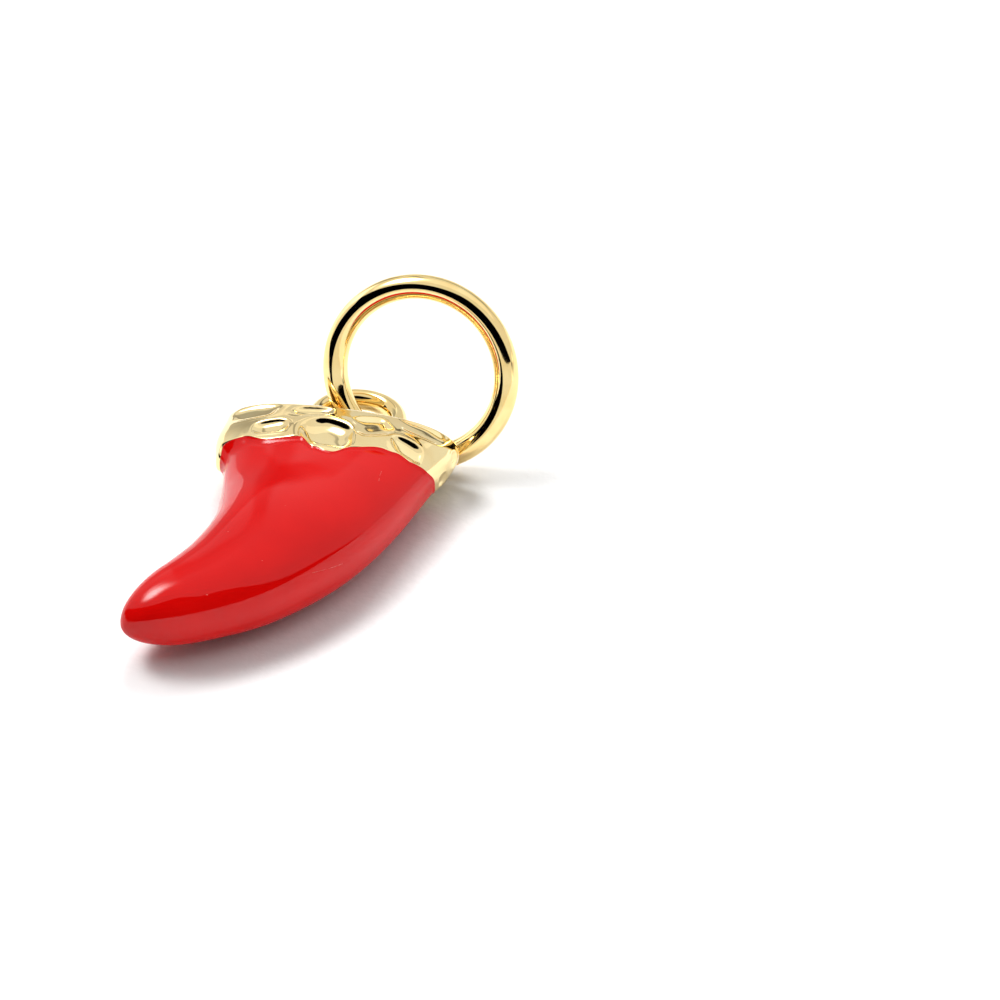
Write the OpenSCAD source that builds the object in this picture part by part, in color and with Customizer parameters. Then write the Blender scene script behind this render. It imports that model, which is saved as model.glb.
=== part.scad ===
// Enamel fang charm: a hollow gold-plated casting with a dented cap band, a red
// enamel coat over the curved fang, a soldered wire eye and a round jump ring.
// It lies on its back on z = 0. X runs across the open mouth, -Y towards the tip.
// All sizes are millimetres, and angles are degrees.

/* [Fang] */
// Length from the mouth to the point of the fang
fang_len = 13; // [12:0.1:14]
// Width of the cap across its open mouth
mouth_w = 9.3; // [8.9:0.1:9.8]
// Thickness of the gold wall at the mouth
mouth_wall = 0.54; // [0.44:0.02:0.64]
// Thickness of the gold wall under the enamel
core_wall = 0.5; // [0.4:0.05:0.6]

/* [Enamel] */
// Thickness of the enamel coat
enamel_t = 0.32; // [0.24:0.02:0.4]
// Room left between the enamel and the gold
fit_gap = 0.03; // [0.02:0.01:0.05]

/* [Cap band] */
// How far the cap band stands proud of the enamel
band_proud = 0.16; // [0.06:0.02:0.24]
// Height of the raised lip round each dent
dent_lip = 0.035; // [0:0.005:0.06]

/* [Eye] */
// Outside diameter of the soldered wire eye
eye_od = 4; // [3.94:0.02:4.1]
// Width of the eye's wire
eye_wire_w = 0.7; // [0.6:0.02:0.72]
// Height of the eye's wire
eye_wire_h = 0.84; // [0.76:0.02:0.86]

/* [Jump ring] */
// Outside diameter of the jump ring
ring_od = 8; // [7.9:0.05:8.1]
// Wire diameter of the jump ring
ring_wire = 1; // [0.8:0.05:1]
// Width of the butt joint in the ring
ring_joint = 0.04; // [0.02:0.01:0.1]

/* [Hidden] */

gold = [0.93, 0.80, 0.47];
enamel_red = [0.84, 0.07, 0.07];

// The middle of the whole piece on the table is the origin.
place = [-0.38, 4.62, 0.013];

// Cross-sections from the mouth to the point, along one curved spine.
// [down: share of the fang's length, side: offset of the middle,
//  half_w: half width as a share of the mouth's, slant: turn of the section,
//  mid: height of the widest line, front: depth above it, back: depth below it]
DOWN = 0;
SIDE = 1;
HALF_W = 2;
SLANT = 3;
MID = 4;
FRONT = 5;
BACK = 6;
sections = [
    [0.000,  0.00, 1.00,   0.0, 1.51, 1.54, 1.51],
    [0.276,  0.10, 0.85,  12.7, 1.74, 1.74, 1.74],
    [0.540, -0.65, 0.63,  -6.3, 1.90, 1.95, 1.90],
    [0.735, -2.01, 0.50, -13.1, 1.89, 1.71, 1.71],
    [0.870, -3.81, 0.34, -41.7, 1.93, 1.44, 1.44],
    [1.000, -5.82, 0.24, -52.5, 1.95, 1.32, 1.32],
];
POINT = len(sections) - 1;
SHOULDER = POINT - 1;

// The oval sections are squarer on the back, which lies on the table.
front_power = 2.45;
back_power = 3;

// Where the enamel ends below the cap band.
// [around: angle from the narrow concave end over the front, at: station]
edge_line = [
    [  0, 0.60], [ 10, 0.58], [ 20, 0.49], [ 40, 0.50], [ 60, 0.61], [ 77, 0.61],
    [ 85, 0.80], [ 92, 0.90], [ 99, 0.80], [112, 0.76], [124, 0.81], [140, 0.89],
    [158, 0.88], [178, 0.83], [210, 0.72], [270, 0.62], [332, 0.43], [346, 0.46],
    [360, 0.60],
];

// Dents pressed into the cap band.
// [around, at: place on the surface, half_l: half length across,
//  half_h: half height, depth, turn: of the oval]
HALF_L = 2;
HALF_H = 3;
DEPTH = 4;
TURN = 5;
dents = [
    [ 45, 0.15, 1.00, 0.52, 0.20,   4],
    [ 80, 0.13, 0.76, 0.36, 0.16,  -2],
    [ 59, 0.42, 0.74, 0.42, 0.20,   0],
    [ 90, 0.54, 1.02, 0.84, 0.32,   4],
    [103, 0.36, 0.78, 0.62, 0.24, -20],
    [132, 0.20, 0.92, 0.46, 0.20,  -8],
    [132, 0.62, 0.80, 0.46, 0.20,  -6],
    [176, 0.28, 0.30, 0.26, 0.10,   0],
    [184, 0.62, 0.34, 0.28, 0.12,   0],
    [353, 0.30, 0.34, 0.26, 0.10,   0],
];
// How the sides of a dent curve up to its rim, and where its lip has its crest and
// how wide that is, as shares of the dent's half sizes
dent_curve = 1.5;
lip_crest = 1.15;
lip_width = 0.2;
// A dent acts on its own side of the casting only, within this distance.
dent_reach = 2;

// Fineness of the skins: columns over the front and the back, and rows down each
// stretch
front_columns = 54;
back_columns = 30;
tip_rows = 7;
fang_rows = 11;
band_rows = 10;
lip_rows = 4;
hollow_rows = 9;
close_rows = 3;
// Columns move this many degrees towards the middle of the front.
crowding = 11;
// A rounded end stops half a row short of its point.
short_of_point = 0.5;

// How deep the hollow runs, as a station, and the length of its rounded end
hollow_end = 2.9;
hollow_round = 0.9;
// Station from which the wall leaves room for the enamel outside it
wall_full = 0.7;

// The enamel rolls over at its edge by this much.
edge_roll = 0.1;
// The band swells from this share of its full height at the mouth to the whole
// of it in the middle, and back to nothing at its end. Its left end bulges more.
rim_share = 0.6;
band_middle = 0.375;
band_end = 0.75;
end_bulge = 0.2;
// Middle of the eye, which stands out of the mouth at half its depth and dips
// a little on its way out
eye_at = [0.3, 1.05, 1.55];
eye_dip = 9;
// Where the jump ring stands, its lean back from upright and its turn
ring_at = [2.7, 2.01];
ring_lean = 24.6;
ring_turn = -3.6;
ring_joint_at = -60;
// Solder that joins the eye to the front wall: [middle, half sizes]
solder = [
    [[ 0.30, -0.85, 2.15], [1.35, 0.80, 0.60]],
    [[-0.95, -0.70, 2.20], [0.85, 0.50, 0.48]],
    [[ 1.35, -0.95, 2.10], [0.75, 0.60, 0.55]],
];

function smooth(a, b, c, d, t) =
    b + 0.5 * t * (c - a + t * (2 * a - 5 * b + 4 * c - d + t * (3 * (b - c) + d - a)));
function power(v, p) = sign(v) * pow(abs(v), p);
function unit(v) = v / norm(v);

// A row of the section table, carried on evenly past both ends
function row(i) = i < 0 ? 2 * sections[0] - sections[1]
    : i > POINT ? 2 * sections[POINT] - sections[SHOULDER]
    : sections[i];

// All seven section values at station s
function section_at(s) =
    let (i = min(floor(s), SHOULDER), t = s - i)
    smooth(row(i - 1), row(i), row(i + 1), row(i + 2), t);

// Length of the rounded tip, which a skin moved inwards reaches less far into
tip_len = norm([
    (sections[POINT][DOWN] - sections[SHOULDER][DOWN]) * fang_len,
    sections[POINT][SIDE] - sections[SHOULDER][SIDE],
]);
function tip_station(s, out) = s < SHOULDER ? s : SHOULDER + (s - SHOULDER) * (1 + out / tip_len);

// A point of the skin at station s and angle a, moved outwards by out
function skin(s, a, out) =
    let (r = section_at(tip_station(s, out)),
        closing = s < SHOULDER ? 1 : sqrt(max(0, 1 - pow(s - SHOULDER, 2))),
        front = sin(a) >= 0,
        p = 2 / (front ? front_power : back_power),
        w = (r[HALF_W] * mouth_w / 2 + out) * closing,
        d = ((front ? r[FRONT] : r[BACK]) + out) * closing,
        across = -w * power(cos(a), p))
    [r[SIDE] + across * cos(r[SLANT]),
        across * sin(r[SLANT]) - r[DOWN] * fang_len,
        r[MID] + d * power(sin(a), p)];

// Direction straight out of the skin, in the plane of its section
function outward(s, a) =
    let (r = section_at(s),
        front = sin(a) >= 0,
        p = 2 - 2 / (front ? front_power : back_power),
        across = -power(cos(a), p) / (r[HALF_W] * mouth_w / 2),
        rise = power(sin(a), p) / (front ? r[FRONT] : r[BACK]))
    unit([across * cos(r[SLANT]), across * sin(r[SLANT]), rise]);

// Station of the enamel's edge at angle a, eased between the table's rows
function edge_at(a) =
    let (k = max([for (i = [0:len(edge_line) - 2]) if (a >= edge_line[i][0]) i]),
        t = (a - edge_line[k][0]) / (edge_line[k + 1][0] - edge_line[k][0]),
        eased = t * t * (3 - 2 * t))
    edge_line[k][1] * (1 - eased) + edge_line[k + 1][1] * eased;

// Each dent's middle and its two directions along the skin
dent_frames = [
    for (d = dents)
        let (across = unit(skin(d[1], d[0] + 3, 0) - skin(d[1], d[0] - 3, 0)),
            down = unit(skin(d[1] + 0.05, d[0], 0) - skin(d[1] - 0.05, d[0], 0)),
            c = cos(d[TURN]), s = sin(d[TURN]))
        [skin(d[1], d[0], 0), c * across + s * down, c * down - s * across],
];

// How far the dents push the skin in or out at point p
function dent_push(p) =
    let (parts = [for (i = [0:len(dents) - 1])
            let (f = dent_frames[i],
                r = norm([(p - f[0]) * f[1] / dents[i][HALF_L],
                    (p - f[0]) * f[2] / dents[i][HALF_H]]))
            norm(p - f[0]) > dent_reach ? 0
                : dent_lip * exp(-pow((r - lip_crest) / lip_width, 2))
                    - (r < 1 ? dents[i][DEPTH] * pow(1 - r * r, dent_curve) : 0)])
    max(parts) + min(parts);

// The band's own swell, which fades to nothing on the back, where the band lies
// on the table
function swell(s, a) =
    let (rise = sin(90 * min(1, max(0, s / band_middle))),
        fall = cos(90 * min(1, max(0, (s - band_middle) / (band_end - band_middle)))))
    (1 + min(0, sin(a))) * fall
        * (band_proud * (rim_share + (1 - rim_share) * rise)
            + end_bulge * pow(max(0, cos(a)), 6) * rise);

// A point of the cap band with its swell and dents
function band_skin(s, a) =
    let (p = skin(s, a, swell(s, a)))
    p + outward(s, a) * dent_push(p);

// A closed skin through rings of points, with a point at each end
module closed_skin(first, rings, last) {
    n = columns;
    end = len(rings) * n + 1;
    polyhedron(
        points = concat([first], [for (r = rings) each r], [last]),
        faces = concat(
            [for (j = [0:n - 1]) [0, 1 + j, 1 + (j + 1) % n]],
            [for (i = [0:len(rings) - 2], j = [0:n - 1])
                let (a = 1 + i * n + j, b = 1 + i * n + (j + 1) % n)
                each [[a, a + n, b], [b, a + n, b + n]]],
            [for (j = [0:n - 1]) [end, end - n + (j + 1) % n, end - n + j]]
        )
    );
}

angles = concat(
    [for (j = [0:front_columns - 1])
        j * 180 / front_columns + crowding * sin(j * 360 / front_columns)],
    [for (j = [0:back_columns - 1]) 180 + j * 180 / back_columns]
);
columns = len(angles);
// Stations of a rounded end's rows, from its point inwards
tip_stations = [
    for (k = [tip_rows:-1:1]) SHOULDER + sin(k * 90 / (tip_rows + short_of_point))];
// Shares of the way from the shoulder to the enamel's edge
fang_shares = [for (k = [0:fang_rows]) k / fang_rows];

// Rings of the fang from its tip to the enamel's edge, moved out by out
function fang_rings(out, edge_shift = 0) = concat(
    [for (s = tip_stations) [for (a = angles) skin(s, a, out)]],
    [for (t = fang_shares) [for (a = angles)
        skin(SHOULDER + (edge_at(a) + edge_shift - SHOULDER) * t, a, out)]]
);
function fang_point(out) = skin(POINT, 0, out);

// Gold under the enamel lies this far inside the fang's skin.
under = -(enamel_t + fit_gap);
// Stations are about this long at the cap, which turns millimetres into stations.
station_mm = sections[1][DOWN] * fang_len;

// How far inside the skin the hollow lies at station s
function hollow_inset(s) =
    let (t = min(1, s / wall_full), deep = core_wall - under)
    -(mouth_wall + (deep - mouth_wall) * t * t * (3 - 2 * t));
function hollow_middle(s) = let (r = section_at(s)) [r[SIDE], -r[DOWN] * fang_len, r[MID]];

// A ring of the hollow, which closes in a rounded end
function hollow_ring(s) =
    let (t = max(0, (s - hollow_end + hollow_round) / hollow_round),
        narrow = sqrt(max(0, 1 - t * t)),
        middle = hollow_middle(s))
    [for (a = angles) middle + (skin(s, a, hollow_inset(s)) - middle) * narrow];

// The cast body: fang core, cap band, rounded lip and hollow in one skin
module cast_shell() {
    lip_r = mouth_wall / 2;
    lip_station = lip_r / station_mm;
    band = [for (k = [0:band_rows]) [for (a = angles)
        band_skin(edge_at(a) + (lip_station - edge_at(a)) * k / band_rows, a)]];
    lip = [for (k = [1:lip_rows - 1])
        let (turn = k * 180 / lip_rows)
        [for (a = angles)
            skin(lip_station * (1 - sin(turn)), a,
                -lip_r * (1 - cos(turn)) + swell(lip_station, a) * (1 + cos(turn)) / 2)]];
    hollow = [for (k = [0:hollow_rows]) hollow_ring(
        lip_station + (hollow_end - hollow_round - lip_station) * k / hollow_rows)];
    hollow_close = [for (k = [1:close_rows]) hollow_ring(
        hollow_end - hollow_round * (1 - sin(k * 90 / (close_rows + short_of_point))))];
    closed_skin(fang_point(under),
        concat(fang_rings(under), band, lip, hollow, hollow_close),
        hollow_middle(hollow_end));
}

// The soldered eye: a round loop of slightly flattened wire
module eye() {
    middle_r = (eye_od - eye_wire_w) / 2;
    flat_h = eye_wire_h - eye_wire_w;
    translate(eye_at) rotate([-eye_dip, 0, 0]) rotate_extrude($fn = 64) translate([middle_r, 0]) {
        for (side = [-1, 1]) translate([0, side * flat_h / 2])
            circle(d = eye_wire_w, $fn = 24);
        square([eye_wire_w, flat_h], center = true);
    }
}

module solder_pad() {
    for (s = solder) translate(s[0]) scale(s[1]) sphere(r = 1, $fn = 24);
}

module gold_casting() {
    color(gold) translate(place) {
        cast_shell();
        eye();
        solder_pad();
    }
}

// The enamel coat: its outer skin, rolled edge and inner skin
module red_enamel() {
    inner = -enamel_t;
    edge_gap = 2 * fit_gap / station_mm;
    roll_station = edge_roll / station_mm;
    outer_rings = fang_rings(0, edge_gap + roll_station);
    inner_rings = fang_rings(inner, edge_gap);
    rolled = [for (a = angles) skin(edge_at(a) + edge_gap, a, -edge_roll)];
    color(enamel_red) translate(place)
        closed_skin(fang_point(0),
            concat(outer_rings, [rolled], [for (i = [len(inner_rings) - 1:-1:0]) inner_rings[i]]),
            fang_point(inner));
}

// The jump ring stands on the table and leans back through the eye.
module jump_ring() {
    middle_r = (ring_od - ring_wire) / 2;
    middle_h = middle_r * cos(ring_lean) + ring_wire / 2;
    open_angle = ring_joint / middle_r * 180 / PI;
    color(gold) translate(place + [ring_at[0], ring_at[1], middle_h])
        rotate([90 - ring_lean, 0, ring_turn])
        rotate([0, 0, ring_joint_at + open_angle / 2])
        rotate_extrude(angle = 360 - open_angle, $fn = 96)
        translate([middle_r, 0]) circle(d = ring_wire, $fn = 32);
}

gold_casting();
red_enamel();
jump_ring();
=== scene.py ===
"""An enamel fang charm, lying on its back on a white table with its jump ring standing up.

The gold casting, its enamel coat and its solder are modelled here more finely than in the
construction, on the same sections, and the two wire loops are grown along their paths.
Sizes are millimetres up to the moment a mesh is built, which turns them into metres.
"""

import math

import bmesh
import bpy
import numpy as np
from mathutils import Matrix, Vector


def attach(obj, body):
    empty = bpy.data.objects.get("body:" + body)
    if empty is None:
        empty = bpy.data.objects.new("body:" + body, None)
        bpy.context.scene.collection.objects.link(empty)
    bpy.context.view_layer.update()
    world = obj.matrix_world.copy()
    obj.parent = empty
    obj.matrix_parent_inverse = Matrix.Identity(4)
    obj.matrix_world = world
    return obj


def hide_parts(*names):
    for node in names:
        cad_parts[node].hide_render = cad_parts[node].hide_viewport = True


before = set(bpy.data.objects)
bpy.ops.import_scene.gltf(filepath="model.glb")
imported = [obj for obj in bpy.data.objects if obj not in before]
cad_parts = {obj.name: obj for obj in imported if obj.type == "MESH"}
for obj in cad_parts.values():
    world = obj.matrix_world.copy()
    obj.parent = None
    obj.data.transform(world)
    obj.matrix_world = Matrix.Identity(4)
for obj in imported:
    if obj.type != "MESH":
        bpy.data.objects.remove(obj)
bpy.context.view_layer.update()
MM = 0.001
BODY = "root"


# The camera of the photograph, in the construction's frame, in millimetres and degrees. It
# aims at the middle of the picture, which holds the charm in its left half.
CAMERA_AIM = (6.11, 3.88, 0.0)
CAMERA_TURN = 11.8
CAMERA_RISE = 41.0
CAMERA_DISTANCE = 275.0
PICTURE_WIDTH = 39.63
SENSOR_WIDTH = 36.0
# Nothing nearer or further than this is drawn, in metres.
NEAREST = 0.01
FURTHEST = 10

# The construction's own sizes
PLACE = np.array([-0.38, 4.62, 0.013])
FANG_LENGTH = 13.0
MOUTH_WIDTH = 9.3
MOUTH_WALL = 0.54
CORE_WALL = 0.5
ENAMEL_THICKNESS = 0.32
ENAMEL_GAP = 0.03
BAND_PROUD = 0.16
EYE_OUTSIDE = 4.0
EYE_WIRE = (0.76, 0.88)
EYE_MIDDLE = np.array([0.3, 1.05, 1.55])
EYE_DIP = 9.0
RING_OUTSIDE = 8.0
RING_WIRE = 1.0
RING_FOOT = (2.7, 2.01)
RING_LEAN = 24.6
RING_TURN = -3.6
RING_JOINT_AT = -60.0
RING_JOINT = 0.04
# Each end of the ring's wire springs this far to its own side.
RING_STEP = 0.04
# The gap between the ends of the eye's wire, and how far round it is turned into the solder
EYE_JOINT = 0.1
EYE_BACK = 100.0

# Cross-sections from the mouth to the point, along one curved spine: share of the length,
# offset of the middle, half width as a share of the mouth's, slant of the section, height of
# its widest line, depth above that and depth below it
DOWN, SIDE, HALF_WIDTH, SLANT, MIDDLE, FRONT, BACK = range(7)
SECTIONS = np.array([
    (0.000, 0.00, 1.00, 0.0, 1.51, 1.54, 1.51),
    (0.276, 0.02, 0.865, 12.7, 1.50, 1.98, 1.50),
    (0.540, -0.73, 0.647, -6.3, 1.60, 2.25, 1.60),
    (0.735, -2.08, 0.515, -13.1, 1.60, 2.00, 1.42),
    (0.870, -3.84, 0.35, -41.7, 1.68, 1.69, 1.19),
    (1.000, -5.82, 0.24, -52.5, 1.75, 1.52, 1.12),
])
POINT = len(SECTIONS) - 1
SHOULDER = POINT - 1
FRONT_POWER = 2.4
BACK_POWER = 2.6
# A polished coat shows every crease, so the joined sections are blurred over this many
# stations, read from a table with this many rows to a station. The blur takes in this many
# times its own width, and past both ends it goes on with the slope of their last stretch.
BLUR = 0.13
ROWS_A_STATION = 200
BLUR_REACH = 3
END_STRETCH = 0.01

# The scalloped line where the enamel ends: angle round the section and station
EDGE_LINE = np.array([
    (0, 0.60), (10, 0.58), (20, 0.49), (40, 0.50), (60, 0.61), (77, 0.61), (85, 0.80),
    (92, 0.90), (99, 0.80), (112, 0.76), (124, 0.81), (140, 0.89), (158, 0.88), (178, 0.83),
    (210, 0.72), (270, 0.62), (332, 0.43), (346, 0.46), (360, 0.60),
])

# Dents in the cap band: angle and station of the middle, half length, half height, depth,
# turn of the oval and softness of its rim
DENTS = [
    (45, 0.15, 1.00, 0.52, 0.12, 4, 0.14),
    (80, 0.17, 0.78, 0.34, 0.15, -2, 0.09),
    (59, 0.42, 0.74, 0.42, 0.19, 0, 0.09),
    (88, 0.54, 1.08, 0.84, 0.38, 4, 0.07),
    (104, 0.36, 0.80, 0.60, 0.15, -20, 0.2),
    (132, 0.20, 0.92, 0.44, 0.12, -8, 0.2),
    (131, 0.68, 0.64, 0.42, 0.18, -6, 0.09),
    (176, 0.28, 0.32, 0.26, 0.16, 0, 0.1),
    (184, 0.62, 0.36, 0.28, 0.18, 0, 0.1),
    (353, 0.30, 0.34, 0.26, 0.10, 0, 0.1),
]
# How far from its middle a dent is felt, how square and how flat it is, and by what share it
# is deeper at its end towards the point than in its middle. Where two dents meet, a larger
# DENT_JOIN keeps them further apart.
DENT_REACH = 2.0
DENT_SQUARE = 2.8
DENT_FLAT = 3.7
DENT_LEAN = 0.1
DENT_JOIN = 3
# A dent's outline wanders by this share for each millimetre of its height, in waves: how many
# go round it, how strong they are, and how far they turn from one dent to the next.
DENT_WANDER = 0.06
OUTLINE_WAVES = ((3, 1.0, 1.0), (5, 0.6, 2.3))
# The lip round a dent: its height where depth and softness are 1, then the place of its crest
# and its width, as shares of the dent's own size
DENT_LIP = 0.008
LIP_CREST = 1.16
LIP_WIDTH = 0.22
# A dent's own directions are taken between points this far to each side of its middle.
ANGLE_STEP = 3
STATION_STEP = 0.05

# How many columns of points the skins have in front and behind, and by how many degrees at
# most the front ones are moved towards its middle
FRONT_COLUMNS = 230
BACK_COLUMNS = 100
COLUMNS_CROWDING = 11.0

# Depth of the hollow and its rounded end, as stations, and where the wall is full
HOLLOW_END = 2.9
HOLLOW_ROUND = 0.9
WALL_FULL = 0.7


def power(value, exponent):
    """A power that keeps its sign."""
    return np.sign(value) * np.abs(value) ** exponent


def joined_sections(stations):
    """All section values at these stations, on a curve through the table's rows."""
    rows = np.vstack([
        2 * SECTIONS[0] - SECTIONS[1],
        SECTIONS,
        2 * SECTIONS[POINT] - SECTIONS[SHOULDER],
    ])
    first = np.clip(np.floor(stations).astype(int), 0, SHOULDER)
    t = (stations - first)[:, None]
    a, b, c, d = (rows[first + k] for k in range(4))
    return b + 0.5 * t * (c - a + t * (2 * a - 5 * b + 4 * c - d + t * (3 * (b - c) + d - a)))


def blurred_sections():
    """The section table at every station row, blurred so that its curvature is even."""
    spare = BLUR_REACH * BLUR
    count = round((POINT + 2 * spare) * ROWS_A_STATION)
    stations = np.linspace(-spare, POINT + spare, count)
    inside = np.clip(stations, 0, POINT)
    rows = joined_sections(inside)
    ends = joined_sections(np.array([0.0, END_STRETCH, POINT - END_STRETCH, POINT]))
    slopes = (ends[1] - ends[0]) / END_STRETCH, (ends[3] - ends[2]) / END_STRETCH
    rows += np.minimum(stations, 0)[:, None] * slopes[0]
    rows += np.maximum(stations - POINT, 0)[:, None] * slopes[1]
    reach = round(spare * ROWS_A_STATION)
    steps = np.arange(-reach, reach + 1) / ROWS_A_STATION
    weights = np.exp(-0.5 * (steps / BLUR) ** 2)
    weights /= weights.sum()
    smooth = [np.convolve(column, weights, mode="same") for column in rows.T]
    return stations, np.array(smooth)


STATION_ROWS, SMOOTH_SECTIONS = blurred_sections()
TIP_LENGTH = math.hypot(
    (SECTIONS[POINT, DOWN] - SECTIONS[SHOULDER, DOWN]) * FANG_LENGTH,
    SECTIONS[POINT, SIDE] - SECTIONS[SHOULDER, SIDE],
)
STATION_MM = SECTIONS[1, DOWN] * FANG_LENGTH


def section_at(station):
    """The seven section values at any stations, first axis last."""
    return [np.interp(station, STATION_ROWS, column) for column in SMOOTH_SECTIONS]


def skin(station, angle, out=0.0):
    """Points of the fang's skin, moved outwards by out. Angle 90 is the front."""
    station, angle, out = np.broadcast_arrays(
        np.asarray(station, float), np.asarray(angle, float), np.asarray(out, float)
    )
    shrunk = SHOULDER + (station - SHOULDER) * (1 + out / TIP_LENGTH)
    values = section_at(np.where(station < SHOULDER, station, shrunk))
    past = np.maximum(station - SHOULDER, 0)
    closing = np.sqrt(np.maximum(0, 1 - past**2))
    sine, cosine = np.sin(np.radians(angle)), np.cos(np.radians(angle))
    exponent = 2 / np.where(sine >= 0, FRONT_POWER, BACK_POWER)
    width = (values[HALF_WIDTH] * MOUTH_WIDTH / 2 + out) * closing
    depth = (np.where(sine >= 0, values[FRONT], values[BACK]) + out) * closing
    across = -width * power(cosine, exponent)
    slant = np.radians(values[SLANT])
    return np.stack([
        values[SIDE] + across * np.cos(slant),
        across * np.sin(slant) - values[DOWN] * FANG_LENGTH,
        values[MIDDLE] + depth * power(sine, exponent),
    ], axis=-1)


def outward(station, angle):
    """Directions straight out of the skin, in the plane of its section."""
    values = section_at(np.asarray(station, float))
    sine, cosine = np.sin(np.radians(angle)), np.cos(np.radians(angle))
    exponent = 2 - 2 / np.where(sine >= 0, FRONT_POWER, BACK_POWER)
    across = -power(cosine, exponent) / (values[HALF_WIDTH] * MOUTH_WIDTH / 2)
    rise = power(sine, exponent) / np.where(sine >= 0, values[FRONT], values[BACK])
    slant = np.radians(values[SLANT])
    way = np.stack([across * np.cos(slant), across * np.sin(slant), rise], axis=-1)
    return way / np.linalg.norm(way, axis=-1, keepdims=True)


def eased(t):
    """A step from 0 to 1 with level ends."""
    t = np.clip(t, 0, 1)
    return t * t * (3 - 2 * t)


def edge_at(angle):
    """Station of the enamel's edge at each angle."""
    row = np.clip(np.searchsorted(EDGE_LINE[:, 0], angle, "right") - 1, 0, len(EDGE_LINE) - 2)
    (a0, s0), (a1, s1) = EDGE_LINE[row].T, EDGE_LINE[row + 1].T
    return s0 + (s1 - s0) * eased((angle - a0) / (a1 - a0))


def dent_push(points):
    """How far the dents push the band in or out at these points."""
    bowls = np.zeros(points.shape[:-1])
    lips = np.zeros(points.shape[:-1])
    for number, dent in enumerate(DENTS):
        angle, station, half_length, half_height, depth, turn, soft = dent
        middle = skin(station, angle)
        across = skin(station, angle + ANGLE_STEP) - skin(station, angle - ANGLE_STEP)
        down = skin(station + STATION_STEP, angle) - skin(station - STATION_STEP, angle)
        across /= np.linalg.norm(across)
        down /= np.linalg.norm(down)
        c, s = math.cos(math.radians(turn)), math.sin(math.radians(turn))
        away = points - middle
        u = away @ (c * across + s * down) / half_length
        w = away @ (c * down - s * across) / half_height
        round_it = np.arctan2(w, u)
        wander = sum(
            share * np.sin(waves * round_it + turning * number)
            for waves, share, turning in OUTLINE_WAVES
        )
        r = (np.abs(u) ** DENT_SQUARE + np.abs(w) ** DENT_SQUARE) ** (1 / DENT_SQUARE)
        r *= 1 + DENT_WANDER * half_height * wander
        floor = soft * np.logaddexp(0, (1 - r**DENT_FLAT) / soft)
        bowl = depth * floor * (1 + DENT_LEAN * np.clip(w, -1, 1))
        lip = DENT_LIP * depth / soft * np.exp(-(((r - LIP_CREST) / LIP_WIDTH) ** 2))
        near = np.linalg.norm(away, axis=-1) < DENT_REACH
        bowls += np.where(near, bowl, 0) ** DENT_JOIN
        lips = np.where(near, np.maximum(lips, lip), lips)
    return lips - bowls ** (1 / DENT_JOIN)


# The band swells from this share of its full height at the mouth to the whole of it in the
# middle, and back to nothing at its end. Its left end bulges more, and further down, and a
# higher BULGE_POWER keeps that bulge closer to the end.
RIM_SHARE = 0.6
BAND_MIDDLE = 0.375
BAND_END = 0.95
END_BULGE = 0.27
BULGE_END = 1.15
BULGE_POWER = 6


def swell(station, angle):
    """How far the band stands proud, which fades to nothing on the back it lies on."""
    sine, cosine = np.sin(np.radians(angle)), np.cos(np.radians(angle))
    rise = eased(station / BAND_MIDDLE)
    fall = 1 - eased((station - BAND_MIDDLE) / (BAND_END - BAND_MIDDLE))
    bulge = END_BULGE * np.maximum(0, cosine) ** BULGE_POWER * rise
    bulge *= 1 - eased((station - BAND_MIDDLE) / (BULGE_END - BAND_MIDDLE))
    high = BAND_PROUD * (RIM_SHARE + (1 - RIM_SHARE) * rise) * fall + bulge
    return high * (1 + np.minimum(0, sine))


def band_skin(station, angle, out=0.0):
    """Points of the cap band, with its swell and dents."""
    bare = skin(station, angle, swell(station, angle))
    return bare + outward(station, angle) * (dent_push(bare) + out)[..., None]


def hollow_middle(station):
    """The middle of the section at one station."""
    values = section_at(station)
    return np.array([values[SIDE], -values[DOWN] * FANG_LENGTH, values[MIDDLE]])


# Lumps of solder that have run along the inside of the front wall:
# angle, station, half length, half height and height of each
RUN_SOLDER = [
    (86, 0.20, 1.5, 0.80, 0.42),
    (68, 0.24, 0.8, 0.55, 0.30),
    (108, 0.28, 1.0, 0.60, 0.34),
    (124, 0.22, 0.7, 0.40, 0.18),
    (96, 0.42, 0.9, 0.50, 0.22),
]
# How steeply a lump falls off, and how far below its middle it is still on the front wall
LUMP_FALL = 1.5
FRONT_WALL_DEPTH = 1

def solder_lift(station, angle):
    """How far the run solder stands off the inside of the wall."""
    bare = skin(station, angle)
    lift = np.zeros(bare.shape[:-1])
    for at, along, half_length, half_height, height in RUN_SOLDER:
        away = bare - skin(along, at)
        r2 = (away[..., 0] / half_length) ** 2 + (away[..., 1] / half_height) ** 2
        lump = height * np.exp(-LUMP_FALL * r2)
        lift += np.where(away[..., 2] > -FRONT_WALL_DEPTH, lump, 0)
    return lift


def hollow_ring(station, angles):
    """A ring of the hollow, which closes in a rounded end."""
    deep = CORE_WALL + ENAMEL_THICKNESS + ENAMEL_GAP
    inset = MOUTH_WALL + (deep - MOUTH_WALL) * eased(station / WALL_FULL)
    t = max(0, (station - HOLLOW_END + HOLLOW_ROUND) / HOLLOW_ROUND)
    middle = hollow_middle(station)
    wall = skin(station, angles, -inset - solder_lift(np.full_like(angles, station), angles))
    return middle + (wall - middle) * math.sqrt(max(0, 1 - t * t))


def columns(front, back):
    """Angles round a section, closer together in the middle of the front."""
    over = np.arange(front)
    under = np.arange(back)
    return np.concatenate([
        over * 180 / front + COLUMNS_CROWDING * np.sin(np.radians(over * 360 / front)),
        180 + under * 180 / back,
    ])


ANGLES = columns(FRONT_COLUMNS, BACK_COLUMNS)


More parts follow.
